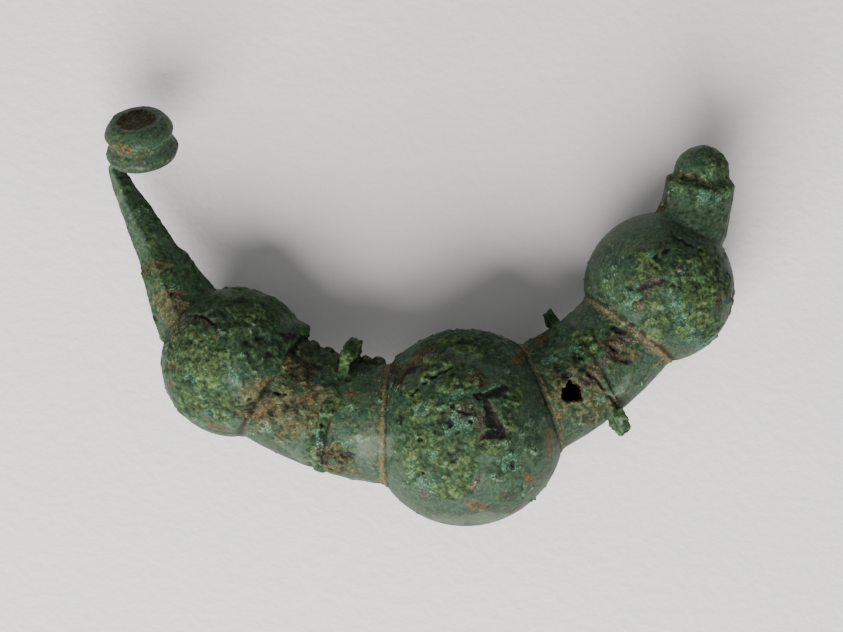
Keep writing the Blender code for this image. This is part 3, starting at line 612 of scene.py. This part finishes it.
def relief(points, normals):
    """Height to add at each point in mm, and the masks that the material reads."""
    t = textures(points)
    z = zones(points, normals, t)
    c = covers(points, t, z)
    rough = np.maximum.reduce([c.crust, c.dark * 0.7, c.tan * 0.9, c.brown])
    pock_lump, pock_own = lumps(points, 0.8, 21)
    pock = smooth(0.88, 0.98, pock_lump) * (pock_own > 0.88) * (0.4 + 0.6 * c.crust)

    detail = c.crust * (0.14 * t.crest + 0.10 * (t.big_lump - 0.6) + 0.05 * (t.small_lump - 0.6)
                        + 0.05 * t.fine)
    detail += c.olive * (0.07 + 0.10 * (t.big_lump - 0.6) + 0.05 * (t.small_lump - 0.5))
    detail += c.dark * (0.08 * t.middling + 0.07 * t.fine)
    detail += c.tan * (0.08 * (t.grain - 0.5) + 0.10 * t.fine) * (1 - z.seam)
    detail += c.brown * (-0.04 + 0.10 * (t.grain - 0.5) + 0.07 * t.fine)
    detail += z.disc * (0.14 * t.middling + 0.05 * t.fine)
    detail += z.hole_rim * (0.04 + 0.08 * t.crest + 0.08 * t.fine)

    height = -DEPTH["base"] + 0.05 * t.broad + 0.02 * t.middling * (1 - rough)
    height += (detail + c.crust * RISE["crust"] + z.seam * RISE["seam"] + c.rim * RISE["rim"]
               + c.orange * RISE["orange"])
    height += c.rib * RISE["rib"] + c.ledge * RISE["ledge"]
    height -= (c.hollow * DEPTH["hollow"] + c.black * DEPTH["black"] + c.crack * DEPTH["crack"]
               + c.purple * DEPTH["purple"] + z.crease * DEPTH["crease"])
    height -= c.groove * DEPTH["groove"] + pock * DEPTH["pock"] + z.cup * (-0.12 - 0.15 * t.middling)
    height -= z.disc_foot * (1 - z.disc) * DEPTH["disc_foot"]
    height *= 1 - z.on_stem * np.maximum(0.4 * (1 - c.brown), 0.7 * c.tan)
    height += z.waist * RISE["waist"]
    height *= 1 - 0.5 * z.on_head
    height += z.on_stem * 0.05 * t.middling

    # Painted shade and light: crevices, low relief, pocks and creases are painted darker, what faces away
    # from the lamp is painted lighter and what faces it is painted darker.
    away_from_lamp = smooth(0.2, 0.8, normals[:, 1])
    towards_lamp = smooth(0.3, 0.9, -normals[:, 1])
    shade = np.clip(0.56 + 2.1 * detail * (1 - 0.6 * z.on_stem) + 0.18 * t.fine * rough - 0.5 * pock
                    - 0.25 * z.crease + 0.16 * away_from_lamp - 0.16 * towards_lamp, 0, 1)
    tint = np.clip(0.5 + 0.5 * (t.big_own - 0.5) + 0.4 * (t.small_own - 0.5) + 0.5 * t.middling, 0, 1)
    masks = {name: getattr(c, name) for name in COVER_NAMES}
    return height, {**masks, "shade": shade, "tint": tint}


def store(mesh, name, values):
    layer = mesh.attributes.new(name, "FLOAT", "POINT")
    layer.data.foreach_set("value", np.clip(values, 0, 1).astype(np.float32))


def make_surface(node):
    """The whole brooch with its relief, as one mesh in the frame."""
    obj = remeshed(node, VOXEL)
    mesh = obj.data
    points, _ = read_points(mesh)
    points = true_balls(points)
    mesh.vertices.foreach_set("co", points.ravel())
    mesh.update()
    points, normals = read_points(mesh)
    height, masks = relief(points, normals)
    points = points + normals * height[:, None]
    low, high = (np.array(corner) * MM_PER_METRE for corner in cad_bounds)
    points = np.clip(points, low, high)
    mesh.vertices.foreach_set("co", points.ravel())
    for name, values in masks.items():
        store(mesh, name, values)
    mesh.update()
    triangles = sum(len(face.vertices) - 2 for face in mesh.polygons)
    if triangles > TRIANGLE_LIMIT:
        thin = obj.modifiers.new("thin", "DECIMATE")
        thin.ratio = TRIANGLE_LIMIT / triangles
        replace_by_result(obj)
    mesh = obj.data
    mesh.transform(Matrix.Scale(MM, 4))
    mesh.shade_smooth()
    return obj


class Shader:
    """Small helper that adds nodes and links them."""

    def __init__(self, name):
        self.material = bpy.data.materials.new(name)
        self.material.use_nodes = True
        self.tree = self.material.node_tree
        self.surface = self.tree.nodes["Principled BSDF"]
        self.place = self.tree.nodes.new("ShaderNodeTexCoord").outputs["Object"]

    def put(self, value, socket):
        if isinstance(value, bpy.types.NodeSocket):
            self.tree.links.new(value, socket)
        else:
            socket.default_value = value

    def mask(self, name):
        node = self.tree.nodes.new("ShaderNodeAttribute")
        node.attribute_name = name
        return node.outputs["Fac"]

    def noise(self, size_mm, detail, rough, stretch=0.0):
        node = self.tree.nodes.new("ShaderNodeTexNoise")
        self.put(self.place, node.inputs["Vector"])
        node.inputs["Scale"].default_value = MM_PER_METRE / size_mm
        node.inputs["Detail"].default_value = detail
        node.inputs["Roughness"].default_value = rough
        node.inputs["Distortion"].default_value = stretch
        return node.outputs["Fac"]

    def cells(self, size_mm, bend=None):
        """Distance from the middle of each cell, with the cells bent by a noise where one is given."""
        node = self.tree.nodes.new("ShaderNodeTexVoronoi")
        place = self.place
        if bend is not None:
            shift = self.tree.nodes.new("ShaderNodeVectorMath")
            shift.operation = "MULTIPLY_ADD"
            self.put(bend, shift.inputs[0])
            shift.inputs[1].default_value = (CELL_BEND, CELL_BEND, -CELL_BEND)
            self.put(self.place, shift.inputs[2])
            place = shift.outputs[0]
        self.put(place, node.inputs["Vector"])
        node.inputs["Scale"].default_value = MM_PER_METRE / size_mm
        return node.outputs["Distance"]

    def math(self, kind, a, b=0.5, c=0.5):
        node = self.tree.nodes.new("ShaderNodeMath")
        node.operation = kind
        for value, socket in zip((a, b, c), node.inputs):
            self.put(value, socket)
        return node.outputs[0]

    def map(self, value, low, high, to_low=0.0, to_high=1.0):
        node = self.tree.nodes.new("ShaderNodeMapRange")
        node.interpolation_type = "SMOOTHSTEP"
        for given, name in ((value, "Value"), (low, "From Min"), (high, "From Max"),
                            (to_low, "To Min"), (to_high, "To Max")):
            self.put(given, node.inputs[name])
        return node.outputs["Result"]

    def edge(self, mask, grain, amount, soft):
        """A mask whose edge is broken up by a grain."""
        broken = self.math("MULTIPLY_ADD", self.math("SUBTRACT", grain, 0.5), amount, mask)
        return self.map(broken, 0.5 - soft, 0.5 + soft)

    def mix(self, share, a, b, kind="MIX"):
        node = self.tree.nodes.new("ShaderNodeMix")
        node.data_type = "RGBA"
        node.blend_type = kind
        self.put(share, node.inputs[0])
        self.put(a, node.inputs[6])
        self.put(b, node.inputs[7])
        return node.outputs[2]

    def layer(self, colour, name, over, grain, amount, soft, share):
        """A colour with another laid over it where a stored mask says so."""
        cover = self.edge(self.mask(name), grain, amount, soft)
        return self.mix(self.math("MULTIPLY", cover, share), colour, over)

    def ramp(self, value, stops):
        node = self.tree.nodes.new("ShaderNodeValToRGB")
        self.put(value, node.inputs["Fac"])
        band = node.color_ramp
        while len(band.elements) < len(stops):
            band.elements.new(0.5)
        for element, (at, colour) in zip(band.elements, stops):
            element.position = at
            element.color = colour
        return node.outputs["Color"]

    def bump(self, height, strength, distance):
        node = self.tree.nodes.new("ShaderNodeBump")
        node.inputs["Strength"].default_value = strength
        node.inputs["Distance"].default_value = distance
        self.put(height, node.inputs["Height"])
        self.put(node.outputs["Normal"], self.surface.inputs["Normal"])


def srgb(red, green, blue):
    """Linear colour for a colour given as 0 to 255 screen values."""
    def linear(value):
        share = value / 255
        return share / 12.92 if share <= 0.04045 else ((share + 0.055) / 1.055) ** 2.4
    return (linear(red), linear(green), linear(blue), 1.0)


def patina():
    """Green patina with crusts, dirt and pits, and with painted shade and highlights."""
    s = Shader("bronze_patina")
    speck = s.noise(0.22, 4.0, 0.65)
    fleck = s.noise(0.38, 2.0, 0.5)
    grain = s.noise(0.5, 5.0, 0.62, 0.3)
    freckle = s.noise(0.75, 3.0, 0.6)
    mottle = s.noise(1.3, 6.0, 0.62, 0.6)
    cloud = s.noise(3.0, 5.0, 0.55, 0.6)
    broad = s.noise(7.0, 3.0, 0.5, 0.4)
    grit = s.math("MULTIPLY_ADD", s.math("ADD", speck, grain), 0.5, 0.0)
    patch = s.math("MULTIPLY_ADD", s.math("ADD", mottle, grain), 0.5, 0.0)
    tint = s.mask("tint")

    # The smooth patina.
    colour = s.ramp(cloud, [(0.36, srgb(38, 56, 38)), (0.46, srgb(50, 74, 52)),
                            (0.55, srgb(60, 86, 64)), (0.64, srgb(46, 72, 56))])
    teal = s.ramp(mottle, [(0.38, srgb(34, 56, 42)), (0.52, srgb(47, 76, 59)), (0.64, srgb(62, 90, 74))])
    for value, low, high, share, over in (
        (broad, 0.44, 0.58, 0.75, teal),
        (patch, 0.50, 0.58, 0.5, srgb(66, 74, 46)),
        (mottle, 0.56, 0.66, 0.4, srgb(84, 86, 62)),
        (grit, 0.47, 0.39, 0.7, srgb(28, 38, 26)),
        (grit, 0.54, 0.62, 0.45, srgb(88, 108, 82)),
        (fleck, 0.44, 0.34, 0.5, srgb(30, 42, 30)),
        (fleck, 0.56, 0.66, 0.4, srgb(92, 114, 88)),
        (freckle, 0.62, 0.70, 0.6, srgb(88, 80, 54)),
        (freckle, 0.36, 0.30, 0.5, srgb(92, 120, 100)),
    ):
        colour = s.mix(s.map(value, low, high, 0.0, share), colour, over)

    # Crusts and dirt over it, each with its own colours; some layers also carry painted shade and painted
    # highlights.
    crusted = s.ramp(grain, [(0.34, srgb(26, 40, 28)), (0.43, srgb(40, 60, 40)), (0.50, srgb(55, 78, 50)),
                             (0.57, srgb(70, 94, 58)), (0.66, srgb(82, 112, 80))])
    green = s.ramp(mottle, [(0.40, srgb(36, 62, 46)), (0.47, srgb(58, 82, 46)), (0.53, srgb(46, 78, 58)),
                            (0.60, srgb(80, 100, 64))])
    # Painted shade in the gaps between the crust's cells.
    crevice_shade = s.map(s.cells(0.42, grain), 0.42, 0.62, 0.0, 0.5)
    crusted = s.mix(crevice_shade, s.mix(0.5, crusted, green), srgb(24, 34, 22))
    dark = s.ramp(grain, [(0.38, srgb(28, 42, 30)), (0.50, srgb(48, 66, 47)), (0.62, srgb(68, 90, 64))])
    olive = s.ramp(tint, [(0.10, srgb(50, 71, 38)), (0.35, srgb(72, 94, 53)), (0.55, srgb(91, 108, 64)),
                          (0.75, srgb(74, 101, 64)), (0.95, srgb(59, 89, 62))])
    # Painted shade in the olive crust's low grain and gaps, and painted highlights in its light specks.
    olive = s.mix(s.map(grain, 0.42, 0.52, 0.85, 0.0), olive, srgb(38, 56, 34))
    olive = s.mix(s.math("MULTIPLY", crevice_shade, 0.8), olive, srgb(34, 48, 28))
    olive = s.mix(s.map(speck, 0.55, 0.66, 0.0, 0.5), olive, srgb(110, 124, 82))
    tan = s.ramp(speck, [(0.38, srgb(50, 50, 34)), (0.50, srgb(94, 86, 60)), (0.62, srgb(124, 110, 80))])
    tan = s.mix(s.map(grain, 0.44, 0.56, 0.75, 0.0), tan, srgb(60, 72, 46))
    brown = s.ramp(speck, [(0.38, srgb(42, 39, 24)), (0.52, srgb(74, 65, 42)), (0.64, srgb(102, 87, 60))])
    purple = s.ramp(speck, [(0.38, srgb(32, 26, 23)), (0.50, srgb(72, 58, 50)), (0.62, srgb(112, 100, 90))])
    turquoise = s.ramp(speck, [(0.38, srgb(36, 72, 56)), (0.52, srgb(60, 104, 82)),
                               (0.66, srgb(128, 170, 144))])
    orange = s.ramp(grit, [(0.42, srgb(56, 50, 32)), (0.5, srgb(92, 70, 44)), (0.58, srgb(124, 90, 54))])
    seam = s.ramp(speck, [(0.38, srgb(80, 72, 48)), (0.5, srgb(112, 97, 69)), (0.62, srgb(140, 124, 94))])
    for name, over, edge_grain, amount, soft, share in (
        ("crust", crusted, patch, 2.0, 0.2, 1.0),
        # The dark layer is partly painted shade, on the stem's far facet, the head's neck and round the
        # discs' feet.
        ("dark", dark, patch, 2.0, 0.25, 0.6),
        ("olive", olive, patch, 2.4, 0.16, 0.85),
        ("tan", tan, grit, 2.4, 0.25, 0.8),
        ("brown", brown, grit, 2.2, 0.2, 0.8),
        ("purple", purple, grit, 3.0, 0.18, 0.6),
        ("turquoise", turquoise, grit, 2.8, 0.2, 0.58),
        ("orange", orange, grit, 2.6, 0.2, 0.65),
        ("seam", seam, patch, 3.0, 0.3, 0.62),
        # The pale layer is partly painted highlight where faces catch the lamp.
        ("pale", srgb(138, 150, 132), grain, 0.8, 0.4, 0.22),
    ):
        colour = s.layer(colour, name, over, edge_grain, amount, soft, share)
    # Painted shade and light: the stored shade mask darkens crevices and faces towards the lamp and lightens
    # faces away from it.
    shadow = s.ramp(s.mask("shade"), [(0.15, srgb(70, 74, 68)), (0.45, srgb(200, 202, 198)),
                                      (0.75, srgb(255, 255, 255))])
    colour = s.mix(0.95, colour, shadow, "MULTIPLY")
    stain = s.ramp(patch, [(0.47, srgb(12, 11, 11)), (0.54, srgb(28, 24, 23)), (0.61, srgb(64, 48, 41))])
    black = s.math("MULTIPLY", s.edge(s.mask("black"), grit, 2.6, 0.16), 0.9)
    s.put(s.mix(black, colour, stain), s.surface.inputs["Base Color"])

    # Crusts are dull and rough, the black stains shine a little.
    crusty = s.math("MAXIMUM", s.math("MAXIMUM", s.mask("crust"), s.mask("dark")),
                    s.math("MAXIMUM", s.mask("tan"), s.mask("brown")))
    dull = s.map(s.math("MULTIPLY_ADD", grain, 0.4, crusty), 0.0, 1.2, 0.5, 0.85)
    s.put(s.math("MULTIPLY_ADD", black, -0.3, dull), s.surface.inputs["Roughness"])
    s.surface.inputs["Metallic"].default_value = 0.0
    s.surface.inputs["IOR"].default_value = 1.28
    rough = s.math("MULTIPLY", grain, 0.9)
    rough = s.math("MULTIPLY_ADD", s.cells(0.3), s.map(crusty, 0.1, 0.8, 0.1, 0.4), rough)
    rough = s.math("MULTIPLY_ADD", speck, s.map(crusty, 0.1, 0.8, 0.4, 0.8), rough)
    s.bump(rough, 0.5, PATINA_BUMP)
    return s.material


def paper():
    """Plain pale paper that the brooch lies on."""
    s = Shader("pale_paper")
    s.put(srgb(236, 234, 233), s.surface.inputs["Base Color"])
    s.surface.inputs["Roughness"].default_value = 0.9
    s.surface.inputs["Specular IOR Level"].default_value = 0.2
    s.bump(s.noise(1.2, 4.0, 0.6), 0.35, PAPER_BUMP)
    return s.material


def make_floor():
    half = FLOOR_SIZE / 2
    corners = [(-half, -half, 0), (half, -half, 0), (half, half, 0), (-half, half, 0)]
    mesh = bpy.data.meshes.new("floor")
    mesh.from_pydata(corners, [], [(0, 1, 2, 3)])
    obj = bpy.data.objects.new("floor", mesh)
    bpy.context.collection.objects.link(obj)
    mesh.materials.append(paper())
    return obj


def make_lights():
    """One soft lamp at the front, aimed at the middle, and an even pale sky."""
    light = bpy.data.lights.new("key", "AREA")
    light.shape = "DISK"
    light.size = KEY_SIZE
    light.energy = KEY_WATTS
    light.color = KEY_COLOUR
    obj = bpy.data.objects.new("key", light)
    obj.location = KEY_PLACE
    obj.rotation_euler = (-obj.location).to_track_quat("-Z", "Y").to_euler()
    bpy.context.collection.objects.link(obj)
    world = bpy.data.worlds.new("studio")
    world.use_nodes = True
    background = world.node_tree.nodes["Background"]
    background.inputs["Color"].default_value = (1.0, 1.0, 1.0, 1.0)
    background.inputs["Strength"].default_value = SKY_STRENGTH
    bpy.context.scene.world = world


def make_camera():
    data = bpy.data.cameras.new("camera")
    data.sensor_width = SENSOR
    data.lens = SENSOR * (CAMERA_HEIGHT - FRAME_LEVEL) / FRAME_WIDTH
    data.clip_start = 0.01
    obj = bpy.data.objects.new("camera", data)
    obj.location = (*CAMERA_PLACE, CAMERA_HEIGHT)
    bpy.context.collection.objects.link(obj)
    bpy.context.scene.camera = obj


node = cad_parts["fibula"]
surface = make_surface(node)
surface.data.materials.clear()
surface.data.materials.append(patina())
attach(surface, "root")
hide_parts("fibula")
floor = make_floor()
make_lights()
make_camera()
